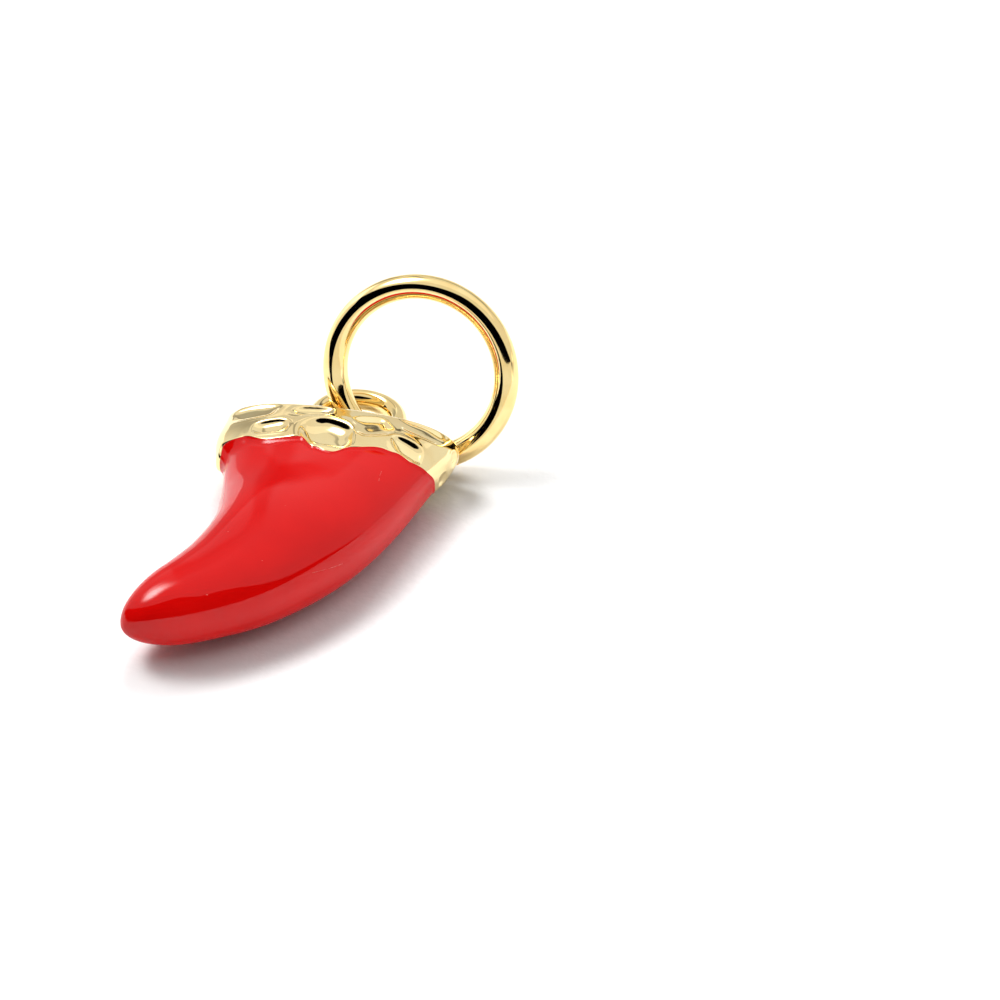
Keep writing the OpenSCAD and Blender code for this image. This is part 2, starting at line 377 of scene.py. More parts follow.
def closed_skin(first, rings, last):
    """Points and outward faces of a closed skin through rings, with a point at each end."""
    rings = np.array(rings)
    count, n = rings.shape[:2]
    points = np.vstack([first[None], rings.reshape(-1, 3), last[None]])
    this = np.arange(n)
    after = (this + 1) % n
    faces = [(0, 1 + b, 1 + a) for a, b in zip(this, after)]
    for i in range(count - 1):
        row = 1 + i * n
        faces += [(row + a, row + b, row + n + b, row + n + a) for a, b in zip(this, after)]
    row = 1 + (count - 1) * n
    faces += [(len(points) - 1, row + a, row + b) for a, b in zip(this, after)]
    return points, faces


def placed(name, data):
    """A new object at the origin of the scene, for this mesh, camera or light."""
    made = bpy.data.objects.new(name, data)
    bpy.context.scene.collection.objects.link(made)
    return made


def piece_from(name, points, faces, material):
    """A smooth mesh piece at the origin, from millimetres."""
    mesh = bpy.data.meshes.new(name)
    mesh.from_pydata(((points + PLACE) * MM).tolist(), [], faces)
    mesh.update()
    mesh.shade_smooth()
    mesh.materials.append(material)
    return placed(name, mesh)


def store(piece, name, values):
    """Keeps one number a point on the piece, for its material to read."""
    attribute = piece.data.attributes.new(name, "FLOAT", "POINT")
    attribute.data.foreach_set("value", np.asarray(values, np.float32))


# Colours and materials

def tint(code):
    """An sRGB hex colour as the linear values that the shaders take."""
    channels = [int(code[k : k + 2], 16) / 255 for k in (1, 3, 5)]
    linear = [c / 12.92 if c <= 0.04045 else ((c + 0.055) / 1.055) ** 2.4 for c in channels]
    return (*linear, 1.0)


def add(tree, kind, settings=None, inputs=None):
    """Adds a node: settings are its own properties, and an input takes a value or a socket."""
    node = tree.nodes.new(kind)
    for name, value in (settings or {}).items():
        setattr(node, name, value)
    for name, value in (inputs or {}).items():
        if isinstance(value, bpy.types.NodeSocket):
            tree.links.new(value, node.inputs[name])
        else:
            node.inputs[name].default_value = value
    return node


def per(size_mm):
    """Scale of a pattern whose features measure this many millimetres."""
    return 1 / (size_mm * MM)


def new_material(name):
    """An empty material, its node tree and its object coordinates."""
    material = bpy.data.materials.new(name)
    material.use_nodes = True
    tree = material.node_tree
    tree.nodes.clear()
    place = add(tree, "ShaderNodeTexCoord").outputs["Object"]
    return material, tree, place


def finish_material(tree, inputs):
    """Ends a material in one shader with these inputs."""
    shader = add(tree, "ShaderNodeBsdfPrincipled", inputs=inputs)
    add(tree, "ShaderNodeOutputMaterial", inputs={"Surface": shader.outputs["BSDF"]})


def noise(tree, place, size_mm, detail=2.0):
    """The strength of an even noise whose patches measure size_mm."""
    made = add(tree, "ShaderNodeTexNoise", inputs={
        "Vector": place, "Scale": per(size_mm), "Detail": detail, "Roughness": 0.5,
    })
    return made.outputs["Fac"]


def spread(tree, strength, low, high, start=0.35, end=0.65):
    """Turns a pattern's middle stretch into values from low to high."""
    made = add(tree, "ShaderNodeMapRange", inputs={
        "Value": strength, "From Min": start, "From Max": end, "To Min": low, "To Max": high,
    })
    return made.outputs["Result"]


def calculate(tree, operation, *values):
    """One step of arithmetic."""
    made = add(tree, "ShaderNodeMath", {"operation": operation}, dict(enumerate(values)))
    return made.outputs["Value"]


def with_vectors(tree, operation, result, inputs):
    """One step of arithmetic with vectors. The result is called Vector or Value."""
    made = add(tree, "ShaderNodeVectorMath", {"operation": operation}, inputs)
    return made.outputs[result]


def stepped(tree, value, start, end, low=0.0, high=1.0):
    """A soft step from low to high while the value goes from start to end."""
    made = add(tree, "ShaderNodeMapRange", {"interpolation_type": "SMOOTHSTEP"}, {
        "Value": value, "From Min": start, "From Max": end, "To Min": low, "To Max": high,
    })
    return made.outputs["Result"]


def mixed(tree, share, first, second, kind="RGBA"):
    """A colour between two, or a plain number with kind FLOAT, by a share from 0 to 1."""
    made = add(tree, "ShaderNodeMix", {"data_type": kind}, {
        "Factor": share, "A": first, "B": second,
    })
    return made.outputs["Result"]


def bumped(tree, height, strength, depth_mm, under=None):
    """The way a surface with this relief faces, laid over another relief where one is given."""
    inputs = {"Strength": strength, "Distance": depth_mm * MM, "Height": height}
    if under is not None:
        inputs["Normal"] = under
    return add(tree, "ShaderNodeBump", inputs=inputs).outputs["Normal"]


def plated_gold():
    """Pale gold electroplated on polished cast brass: mirror bright, with the faint swirl of
    barrel polishing. Where the attribute matte is 1, the metal is as it came from the mould,
    fine-grained and only tinted by the plating."""
    material, tree, place = new_material("pale_gold_plating")
    matte = add(tree, "ShaderNodeAttribute", {"attribute_name": "matte"}).outputs["Fac"]
    cloud = spread(tree, noise(tree, place, size_mm=1.4), low=0.0, high=1.0)
    bright = mixed(tree, cloud, tint("#FBE7B0"), tint("#F7DDA2"))
    colour = mixed(tree, matte, bright, tint("#F0D096"))
    polish = spread(tree, noise(tree, place, size_mm=0.5), low=0.05, high=0.10)
    matte_roughness = 0.42
    rough = mixed(tree, matte, polish, matte_roughness, kind="FLOAT")
    grain = calculate(tree, "MULTIPLY", noise(tree, place, size_mm=0.05, detail=3.0), matte)
    grainy = bumped(tree, grain, strength=0.5, depth_mm=0.012)
    # The barrel leaves the surface gently uneven over about a third of a millimetre.
    swirl = noise(tree, place, size_mm=0.35)
    uneven = bumped(tree, swirl, strength=0.35, depth_mm=0.006, under=grainy)
    finish_material(tree, {
        "Base Color": colour, "Metallic": 1.0, "Roughness": rough, "Normal": uneven,
    })
    return material


def ring_gold():
    """Pale gold plated on drawn brass wire: mirror bright, and a little uneven from drawing."""
    material, tree, place = new_material("pale_gold_on_wire")
    cloud = spread(tree, noise(tree, place, size_mm=1.0), low=0.0, high=1.0)
    colour = mixed(tree, cloud, tint("#FAE1A2"), tint("#F4D692"))
    polish = spread(tree, noise(tree, place, size_mm=0.25, detail=3.0), low=0.045, high=0.09)
    uneven = bumped(tree, noise(tree, place, size_mm=0.3), strength=0.3, depth_mm=0.004)
    finish_material(tree, {
        "Base Color": colour, "Metallic": 1.0, "Roughness": polish, "Normal": uneven,
    })
    return material


def run_solder():
    """Gold-coloured solder that ran and froze rough, browned by the flame and its flux."""
    material, tree, place = new_material("browned_solder")
    stains = noise(tree, place, size_mm=0.45, detail=4.0)
    stain = spread(tree, stains, low=0.0, high=1.0, start=0.4, end=0.6)
    colour = mixed(tree, stain, tint("#E9B65E"), tint("#8A4A1E"))
    rough = spread(tree, noise(tree, place, size_mm=0.2, detail=3.0), low=0.16, high=0.42)
    pits = noise(tree, place, size_mm=0.12, detail=4.0)
    finish_material(tree, {
        "Base Color": colour, "Metallic": 1.0, "Roughness": rough,
        "Normal": bumped(tree, pits, strength=0.9, depth_mm=0.03),
    })
    return material


# Fine scratches and specks of dust in the coat: station and angle of both ends, and half the
# width in millimetres. A mark is at its strongest within this share of its width. Its paler
# red covers this share of the coat's there, and the gloss is this much rougher.
ENAMEL_MARKS = [
    ((1.154, 125.5), (1.219, 126.8), 0.022),
    ((1.254, 127.8), (1.289, 129), 0.018),
    ((2.663, 159.9), (2.468, 165.1), 0.018),
    ((2.438, 165.9), (2.233, 170.1), 0.026),
    ((3.887, 131.3), (3.877, 132), 0.032),
    ((2.728, 73.2), (2.733, 73.5), 0.028),
    ((2.034, 90.7), (2.029, 90.9), 0.018),
    ((3.043, 117.3), (3.038, 117.8), 0.018),
    ((0.9, 100.9), (0.9, 101.1), 0.018),
]
MARK_CORE = 0.3
MARK_LIGHTER = 0.6
MARK_ROUGHER = 0.3


def nearness(tree, place, start, end, half_width):
    """How near a point lies to a straight mark, from 0 to 1. Millimetres."""
    first, last = (Vector((at + PLACE).tolist()) * MM for at in (start, end))
    run = last - first
    away = with_vectors(tree, "SUBTRACT", "Vector", {0: place, 1: first})
    along = with_vectors(tree, "DOT_PRODUCT", "Value", {0: away, 1: run / run.length_squared})
    held = add(tree, "ShaderNodeClamp", inputs={"Value": along}).outputs["Result"]
    foot = with_vectors(tree, "SCALE", "Vector", {0: run, "Scale": held})
    gap = with_vectors(tree, "DISTANCE", "Value", {0: away, 1: foot})
    return stepped(tree, gap, half_width * MM, MARK_CORE * half_width * MM)


def glossy_enamel():
    """Opaque red enamel, poured on and cured: a deep even colour under a wet gloss that is
    just uneven enough to bend the reflection of a lamp."""
    material, tree, place = new_material("poured_red_enamel")
    cloud = spread(tree, noise(tree, place, size_mm=2.5), low=0.0, high=1.0)
    colour = mixed(tree, cloud, tint("#C90806"), tint("#C20605"))
    marks = 0.0
    for start, end, half_width in ENAMEL_MARKS:
        mark = nearness(tree, place, skin(*start), skin(*end), half_width)
        marks = calculate(tree, "MAXIMUM", marks, mark)
    patchy = spread(tree, noise(tree, place, size_mm=0.08), low=0.2, high=1.0)
    broken = calculate(tree, "MULTIPLY", marks, patchy)
    lighter = calculate(tree, "MULTIPLY", broken, MARK_LIGHTER)
    colour = mixed(tree, lighter, colour, tint("#E88078"))
    polish = spread(tree, noise(tree, place, size_mm=0.8), low=0.025, high=0.05)
    rougher = calculate(tree, "MULTIPLY", broken, MARK_ROUGHER)
    cut = bumped(tree, calculate(tree, "MULTIPLY", broken, -1), strength=0.6, depth_mm=0.02)
    waves = noise(tree, place, size_mm=1.6, detail=1.0)
    finish_material(tree, {
        "Base Color": colour, "Roughness": calculate(tree, "ADD", polish, rougher), "IOR": 1.4,
        "Specular IOR Level": 0.4,
        "Normal": bumped(tree, waves, strength=0.4, depth_mm=0.02, under=cut),
    })
    return material


def table_paper():
    """Matt white paper under the charm, with a tooth that shows only in its shadows."""
    material, tree, place = new_material("matt_white_paper")
    tooth = noise(tree, place, size_mm=0.4, detail=3.0)
    finish_material(tree, {
        "Base Color": tint("#EAEAEA"), "Roughness": 0.9, "Specular IOR Level": 0.2,
        "Normal": bumped(tree, tooth, strength=0.5, depth_mm=0.05),
    })
    return material


# Growing wire along its path

def tree_with(name, sizes):
    """A geometry tree with named size inputs, and what its group input offers."""
    tree = bpy.data.node_groups.new(name, "GeometryNodeTree")
    kinds = {float: "NodeSocketFloat", int: "NodeSocketInt"}
    tree.interface.new_socket("Geometry", in_out="INPUT", socket_type="NodeSocketGeometry")
    for label, value in sizes.items():
        socket = tree.interface.new_socket(label, in_out="INPUT", socket_type=kinds[type(value)])
        socket.default_value = value
    tree.interface.new_socket("Material", in_out="INPUT", socket_type="NodeSocketMaterial")
    tree.interface.new_socket("Geometry", in_out="OUTPUT", socket_type="NodeSocketGeometry")
    return tree, add(tree, "NodeGroupInput").outputs


def close_tree(tree, geometry, material):
    """Ends a tree in real geometry with its material."""
    real = add(tree, "GeometryNodeRealizeInstances", inputs={"Geometry": geometry})
    painted = add(tree, "GeometryNodeSetMaterial", inputs={
        "Geometry": real.outputs["Geometry"], "Material": material,
    })
    add(tree, "NodeGroupOutput", inputs={"Geometry": painted.outputs["Geometry"]})


# A higher power keeps the sideways step of a loop's ends closer to its joint.
SPRING_POWER = 9.0


def wire_loop_tree():
    """A round loop of wire with a butt joint, whose cut ends are eased over."""
    tree, given = tree_with("wire_loop", {
        "Loop Radius": 0.0035, "Wire Width": 0.001, "Wire Height": 0.001,
        "Joint Gap": 0.00004, "Side Step": 0.0, "Ease Length": 0.0001, "Ease Depth": 0.12,
        "Steps Along": 480, "Steps Around": 48,
    })
    opening = calculate(tree, "DIVIDE", given["Joint Gap"], given["Loop Radius"])
    path = add(tree, "GeometryNodeCurveArc", {"mode": "RADIUS"}, {
        "Resolution": given["Steps Along"],
        "Radius": given["Loop Radius"],
        "Start Angle": calculate(tree, "MULTIPLY", opening, 0.5),
        "Sweep Angle": calculate(tree, "SUBTRACT", 2 * math.pi, opening),
    })
    along = add(tree, "GeometryNodeSplineParameter").outputs
    whole = calculate(tree, "MULTIPLY", given["Loop Radius"], 2 * math.pi)
    to_end = calculate(tree, "MINIMUM", along["Length"],
                       calculate(tree, "SUBTRACT", whole, along["Length"]))
    from_end = calculate(tree, "DIVIDE", to_end, given["Ease Length"])
    short = calculate(tree, "SUBTRACT", 1.0, calculate(tree, "MINIMUM", from_end, 1.0))
    squared = calculate(tree, "POWER", short, 2.0)
    narrowing = calculate(tree, "MULTIPLY", squared, given["Ease Depth"])
    eased_wire = add(tree, "GeometryNodeSetCurveRadius", inputs={
        "Curve": path.outputs["Curve"],
        "Radius": calculate(tree, "SUBTRACT", 1.0, narrowing),
    })
    # The two ends stand a little apart sideways, and the step dies out within a sixth of a turn.
    signed = calculate(tree, "SUBTRACT", along["Factor"], 0.5)
    off_middle = calculate(tree, "ABSOLUTE", calculate(tree, "MULTIPLY", signed, 2.0))
    spring = calculate(tree, "POWER", off_middle, SPRING_POWER)
    sided = calculate(tree, "MULTIPLY", spring, calculate(tree, "SIGN", signed))
    lift = calculate(tree, "MULTIPLY", sided, given["Side Step"])
    offset = add(tree, "ShaderNodeCombineXYZ", inputs={"Z": lift})
    sprung = add(tree, "GeometryNodeSetPosition", inputs={
        "Geometry": eased_wire.outputs["Curve"], "Offset": offset.outputs["Vector"],
    })
    rim = add(tree, "GeometryNodeCurvePrimitiveCircle", {"mode": "RADIUS"}, {
        "Resolution": given["Steps Around"], "Radius": 0.5,
    })
    shape = add(tree, "ShaderNodeCombineXYZ", inputs={
        "X": given["Wire Width"], "Y": given["Wire Height"], "Z": 1.0,
    })
    profile = add(tree, "GeometryNodeTransform", inputs={
        "Geometry": rim.outputs["Curve"], "Scale": shape.outputs["Vector"],
    })
    wire = add(tree, "GeometryNodeCurveToMesh", inputs={
        "Curve": sprung.outputs["Geometry"], "Profile Curve": profile.outputs["Geometry"],
        "Fill Caps": True,
    })
    close_tree(tree, wire.outputs["Mesh"], given["Material"])
    return tree


def grown(name, tree, sizes, material):
    """The plain mesh that a tree makes with these sizes, as a new piece."""
    host = placed(name + "_host", bpy.data.meshes.new(name + "_host"))
    modifier = host.modifiers.new("grow", "NODES")
    modifier.node_group = tree
    sockets = {item.name: item.identifier for item in tree.interface.items_tree
               if item.in_out == "INPUT"}
    for label, value in sizes.items():
        modifier[sockets[label]] = value
    modifier[sockets["Material"]] = material
    bpy.context.view_layer.update()
    evaluated = host.evaluated_get(bpy.context.evaluated_depsgraph_get())
    mesh = bpy.data.meshes.new_from_object(evaluated)
    mesh.name = name
    bpy.data.objects.remove(host)
    return placed(name, mesh)


# Edges that turn by more degrees than this stay sharp.
CAP_ANGLE = 50


def smooth_wire(piece):
    """Smooth round the wire and flat on its cut ends."""
    piece.data.shade_smooth()
    piece.data.set_sharp_from_angle(angle=math.radians(CAP_ANGLE))


# The charm's own pieces

# How many rings of points each stretch of the casting and the coat has
CORE_ROWS = 8
EDGE_ROWS = 8
BAND_ROWS = 74
LIP_ROWS = 12
HOLLOW_ROWS = 60
CLOSE_ROWS = 8
COAT_TIP_ROWS = 26
COAT_ROWS = 130
COAT_LINING_ROWS = 10
# A higher power crowds the rows of the coat closer to the gold edge.
CROWDING_POWER = 1.4
# The metal turns matte over the inside of the lip and this many rows of the hollow.
FADE_ROWS = 6

# How far the band's edge stands above the coat, and how much longer than high its roll is
BAND_EDGE = 0.04
EDGE_LONGER = 1.2
# The coat creeps up the edge of the band: its least rise, the length that the climb takes and
# what each millimetre of rise adds to it, the rise at the ends of the band as a share of the
# band's height, the sine of the angle from which it is the whole height, and how deep the
# coat's own edge is tucked in
MENISCUS_RISE = 0.05
MENISCUS_LENGTH = 0.12
MENISCUS_SLOPE = 1.8
SIDE_CLIMB = 0.55
FULL_CLIMB = 0.5
COAT_TUCK = 0.16


def tip_rings(first, last, rows, out=0.0):
    """Rings over the rounded point, between two turns in degrees. At 90 is the very point."""
    return [skin(SHOULDER + math.sin(math.radians(turn)), ANGLES, out)
            for turn in np.linspace(first, last, rows)]


def side_rings(edge, first, last, rows, out):
    """Rings along the fang, between two shares of the way from its shoulder to the edge."""
    return [skin(SHOULDER + (edge - SHOULDER) * t, ANGLES, out)
            for t in np.linspace(first, last, rows)]


def coat_rise(edge):
    """How high the coat climbs at its edge: level with the band in front, less at its ends,
    and not on the back, where it meets the table."""
    sine = np.sin(np.radians(ANGLES))
    climb = SIDE_CLIMB + (1 - SIDE_CLIMB) * np.clip(sine / FULL_CLIMB, 0, 1)
    return np.maximum(MENISCUS_RISE * (1 + np.minimum(0, sine)), climb * swell(edge, ANGLES))


def make_cast_body(material):
    """Fang core, dented cap band, rounded lip and hollow, in one skin."""
    edge = edge_at(ANGLES)
    under = -(ENAMEL_THICKNESS + ENAMEL_GAP)
    lip_radius = MOUTH_WALL / 2
    lip_station = lip_radius / STATION_MM
    # The edge of the band rounds over down to the coat.
    drop = BAND_EDGE + swell(edge, ANGLES) - np.minimum(coat_rise(edge), swell(edge, ANGLES))
    roll = EDGE_LONGER * drop / STATION_MM
    tip = tip_rings(85, 15, CORE_ROWS, under)
    core = side_rings(edge, 0, 1, CORE_ROWS, under)
    turns = np.radians(np.linspace(0, 90, EDGE_ROWS))
    rolled = [band_skin(edge - roll * (1 - math.cos(t)), ANGLES, -drop * (1 - math.sin(t)))
              for t in turns]
    band = [band_skin(edge - roll + (lip_station - edge + roll) * t, ANGLES)
            for t in np.linspace(0, 1, BAND_ROWS)[1:]]
    turns = np.radians(np.linspace(0, 180, LIP_ROWS))[1:-1]
    proud = swell(lip_station, ANGLES)
    lip = [skin(lip_station * (1 - math.sin(t)), ANGLES,
                proud * (1 + math.cos(t)) / 2 - lip_radius * (1 - math.cos(t)))
           for t in turns]
    hollow = [hollow_ring(s, ANGLES)
              for s in np.linspace(lip_station, HOLLOW_END - HOLLOW_ROUND, HOLLOW_ROWS)]
    close = [hollow_ring(HOLLOW_END - HOLLOW_ROUND * (1 - math.sin(math.radians(turn))), ANGLES)
             for turn in np.linspace(8, 85, CLOSE_ROWS)]
    outside = tip + core + rolled + band + lip[: len(lip) // 2]
    inside = lip[len(lip) // 2 :] + hollow + close
    points, faces = closed_skin(skin(POINT, 0, under), outside + inside,
                                hollow_middle(HOLLOW_END))
    piece = piece_from("cast_body", points, faces, material)
    n = len(ANGLES)
    matte = np.ones(len(points))
    matte[: 1 + len(outside) * n] = 0
    fade = len(lip) // 2 + FADE_ROWS
    for k in range(fade):
        row = 1 + (len(outside) + k) * n
        matte[row : row + n] = eased((k + 1) / fade)
    store(piece, "matte", matte)
    return piece


def make_enamel_coat(material):
    """The coat over the fang, which creeps up the band's edge and ends in a tuck behind it."""
    edge = edge_at(ANGLES)
    tip = tip_rings(88, 3, COAT_TIP_ROWS)
    rise = coat_rise(edge)
    reach = MENISCUS_LENGTH + MENISCUS_SLOPE * rise
    outer = []
    for share in 1 - (1 - np.linspace(0, 1, COAT_ROWS)) ** CROWDING_POWER:
        station = SHOULDER + (edge - SHOULDER) * share
        left = 1 - (station - edge) * STATION_MM / reach
        outer.append(skin(station, ANGLES, rise * np.clip(left, 0, 1) ** 2))
    tuck = skin(edge - ENAMEL_GAP / STATION_MM, ANGLES, -COAT_TUCK)
    lining = side_rings(edge, 1, 0, COAT_LINING_ROWS, -ENAMEL_THICKNESS)
    lining_tip = tip_rings(15, 85, COAT_LINING_ROWS, -ENAMEL_THICKNESS)
    points, faces = closed_skin(
        skin(POINT, 0), tip + outer + [tuck] + lining + lining_tip,
        skin(POINT, 0, -ENAMEL_THICKNESS),
    )
    return piece_from("enamel_coat", points, faces, material)


def ring_matrix():
    """Stands the jump ring on the table, leaning back through the eye."""
    middle_radius = (RING_OUTSIDE - RING_WIRE) / 2
    height = middle_radius * math.cos(math.radians(RING_LEAN)) + RING_WIRE / 2
    middle = Vector(PLACE.tolist()) + Vector((*RING_FOOT, height))
    return (
        Matrix.Translation(middle * MM)
        @ Matrix.Rotation(math.radians(RING_TURN), 4, "Z")
        @ Matrix.Rotation(math.radians(90 - RING_LEAN), 4, "X")
        @ Matrix.Rotation(math.radians(RING_JOINT_AT), 4, "Z")
    )


def make_jump_ring(tree, material):
    """The jump ring, with its butt joint low down on the right, behind the cap."""
    piece = grown("jump_ring_wire", tree, {
        "Loop Radius": (RING_OUTSIDE - RING_WIRE) / 2 * MM,
        "Wire Width": RING_WIRE * MM,
        "Wire Height": RING_WIRE * MM,
        "Joint Gap": RING_JOINT * MM,
        "Side Step": RING_STEP * MM,
    }, material)
    piece.data.transform(ring_matrix())
    smooth_wire(piece)
    return piece


def make_wire_eye(tree, material):
    """The eye, with its cut ends turned back into the solder."""
    piece = grown("wire_eye", tree, {
        "Loop Radius": (EYE_OUTSIDE - EYE_WIRE[0]) / 2 * MM,
        "Wire Width": EYE_WIRE[0] * MM,
        "Wire Height": EYE_WIRE[1] * MM,
        "Joint Gap": EYE_JOINT * MM,
        "Steps Along": 300,
    }, material)
    middle = Vector((EYE_MIDDLE + PLACE).tolist()) * MM
    piece.data.transform(
        Matrix.Translation(middle)
        @ Matrix.Rotation(math.radians(-EYE_DIP), 4, "X")
        @ Matrix.Rotation(math.radians(-EYE_BACK), 4, "Z")
    )
    smooth_wire(piece)
    return piece


# Blobs of solder round the back of the eye: middle and half sizes
SOLDER_BLOBS = [
    ((0.30, -0.62, 2.08), (1.25, 0.42, 0.46)),
    ((-0.85, -0.42, 1.98), (0.55, 0.40, 0.40)),
    ((1.30, -0.58, 2.00), (0.62, 0.44, 0.42)),
    ((0.55, -1.00, 2.20), (0.90, 0.60, 0.42)),
]
# They are fused in cells of this size, smoothed this many times, and pushed in and out by up
# to this much in lumps of this size.
SOLDER_CELL = 0.045
SOLDER_SMOOTHING = 8
SOLDER_LUMPS = 0.05
LUMP_SIZE = 0.35


def make_eye_solder(material):
    """Solder frozen in lumps between the eye and the wall."""
    mesh = bpy.data.meshes.new("eye_solder")
    piece = placed("eye_solder", mesh)
    shape = bmesh.new()
    for middle, half in SOLDER_BLOBS:
        ball = Matrix.Translation(Vector((np.array(middle) + PLACE).tolist()) * MM)
        ball = ball @ Matrix.Diagonal((*(h * MM for h in half), 1))
        bmesh.ops.create_icosphere(shape, subdivisions=5, radius=1, matrix=ball)
    shape.to_mesh(mesh)
    shape.free()
    remesh = piece.modifiers.new("fuse", "REMESH")
    remesh.mode = "VOXEL"
    remesh.voxel_size = SOLDER_CELL * MM
    soften = piece.modifiers.new("soften", "SMOOTH")
    soften.iterations = SOLDER_SMOOTHING
    lumps = bpy.data.textures.new("lumps", "CLOUDS")
    lumps.noise_scale = LUMP_SIZE * MM
    push = piece.modifiers.new("lumps", "DISPLACE")
    push.texture = lumps
    push.strength = SOLDER_LUMPS * 2 * MM
    push.mid_level = 0.5
    bpy.context.view_layer.update()
    evaluated = piece.evaluated_get(bpy.context.evaluated_depsgraph_get())
    piece.data = bpy.data.meshes.new_from_object(evaluated)
    piece.modifiers.clear()
    piece.data.shade_smooth()
    piece.data.materials.clear()
    piece.data.materials.append(material)
    return piece


# The studio

def camera_ways():
    """Directions from the charm to the camera, to the picture's right, and level to the camera."""
    turn, rise = math.radians(CAMERA_TURN), math.radians(CAMERA_RISE)
    level = Vector((math.sin(turn), -math.cos(turn), 0))
    right = Vector((math.cos(turn), math.sin(turn), 0))
    return level * math.cos(rise) + Vector((0, 0, math.sin(rise))), right, level


def set_camera():
    """The photograph's camera, aimed at the middle of its picture."""
    back, _, _ = camera_ways()
    data = bpy.data.cameras.new("studio_camera")
    data.sensor_width = SENSOR_WIDTH
    data.lens = SENSOR_WIDTH * CAMERA_DISTANCE / PICTURE_WIDTH
    data.clip_start = NEAREST
    data.clip_end = FURTHEST
    camera = placed("studio_camera", data)
    camera.location = (Vector(CAMERA_AIM) + back * CAMERA_DISTANCE) * MM
    camera.rotation_mode = "QUATERNION"
    camera.rotation_quaternion = (-back).to_track_quat("-Z", "Y")
    bpy.context.scene.camera = camera


# Half the side of the table, in metres
TABLE_HALF = 4.0


def set_table(material):
    """A sheet of paper that is wider than any view of the charm."""
    mesh = bpy.data.meshes.new("table")
    signs = ((-1, -1), (1, -1), (1, 1), (-1, 1))
    mesh.from_pydata([(x * TABLE_HALF, y * TABLE_HALF, 0) for x, y in signs], [], [(0, 1, 2, 3)])
    table = placed("table", mesh)
    mesh.materials.append(material)
    return table


# The light tent: white cloth over the table, with an opening in front, and a lamp behind it on
# the left. Directions are degrees round from the camera towards the picture's right, and
# degrees up. A table gives how high the opening reaches in each direction, and the edges of
# the opening and of the shade are this many degrees wide.
TENT_GLOW = 0.88
SOFT_EDGE = 4.0
OPENING_TOP = [
    (-180, -20), (-124, -20), (-118, 0), (-108, 20), (-98, 31), (-83, 42), (-68, 48),
    (-53, 53), (-38, 56), (-23, 60), (-8, 64), (7, 66), (22, 64), (37, 55), (46, 40), (54, 22),
    (62, 11), (75, 6), (90, 1), (105, -20), (180, -20),
]
# The foot of the cloth behind lies in shade. How high it reaches, and what share of the glow
# it takes, change with the degrees from straight behind towards the picture's right.
SHADE_TOP = [
    (-180, 22), (-20, 22), (-12, 19), (-6, 22.5), (-2, 25.5), (2, 28), (5, 30), (10, 30),
    (25, 29), (45, 27), (180, 27),
]
SHADE_DEPTH = [
    (-180, 0), (-42, 0), (-25, 0.5), (-14, 0.5), (-7, 0.84), (42, 0.84), (60, 0), (180, 0),
]
# A seam goes up the cloth a little left of straight behind, where it hangs double: where it is,
# half its width, the width of its soft edges, how high it reaches, over how many degrees it
# fades out below that, and the share of the glow that it takes.
SEAM_BEHIND = -12.0
SEAM_HALF = 4.0
SEAM_EDGE = 4.0
SEAM_TOP = 62.0
SEAM_FADE = 25.0
SEAM_DEPTH = 0.5
# The lamp, which shines through the cloth as a soft oval. A higher power makes it more even
# with a harder edge.
KEY_AROUND = -125.0
KEY_UP = 55.0
KEY_HALF = (13.5, 10.0)
KEY_POWER = 1.5
KEY_GLOW = 21.0
# White boards that only the metal sees, as in a deeper tent: first for all of it, then for the
# cast pieces and then for the ring. The numbers are metres right of the charm, in front of it
# and up: the middle of a board, half of its one side and half of its other. The last number is
# how bright it is.
METAL_BOARDS = {
    "back_board": ((0.45, -1.0, 0.24), (0.72, 0, 0), (0, 0, 0.24), 0.62),
    "ceiling": ((0, -0.5, 1.2), (1.5, 0, 0), (0, 0.5, 0), 0.2),
    "right_board": ((2.1, 0.85, 0.15), (0, 0.85, 0), (0, 0, 0.15), 0.75),
}
CAST_BOARDS = {
    "low_front_board": ((0, 1.0, 0.36), (1.2, 0, 0), (0, 0, 0.36), 0.5),
}
RING_BOARDS = {
    "front_board": ((0.39, 1.45, 0.25), (1.45, -0.39, 0), (0, 0, 0.25), 0.95),
    "left_board": ((-1.37, -0.61, 0.4), (-0.30, 0.67, 0), (0, 0, 0.4), 0.95),
}
# Light that goes into the enamel from in front and comes back red, and light from behind that
# softens the shadows
COAT_LIGHT = {"coat_light": ((0.9, 1.05, 0.9), (0.55, -0.45, 0), (0, 0, 0.6), 2.5)}
TABLE_LIGHT = {"table_light": ((0.15, -1.25, 1.4), (0.35, 0, 0), (0, 0.26, 0.23), 13.0)}


def read_off(tree, value, table):
    """What a table gives for this value, in straight lines from row to row."""
    first, last = table[0][0], table[-1][0]
    low = min(height for _, height in table)
    high = max(height for _, height in table)
    share = calculate(tree, "DIVIDE", calculate(tree, "SUBTRACT", value, first), last - first)
    ramp = add(tree, "ShaderNodeValToRGB", inputs={"Fac": share})
    stops = ramp.color_ramp.elements
    for at, _ in table[1:-1]:
        stops.new((at - first) / (last - first))
    for stop, (_, height) in zip(stops, table):
        grey = (height - low) / (high - low)
        stop.color = (grey, grey, grey, 1)
    scaled = calculate(tree, "MULTIPLY", ramp.outputs["Color"], high - low)
    return calculate(tree, "ADD", scaled, low)


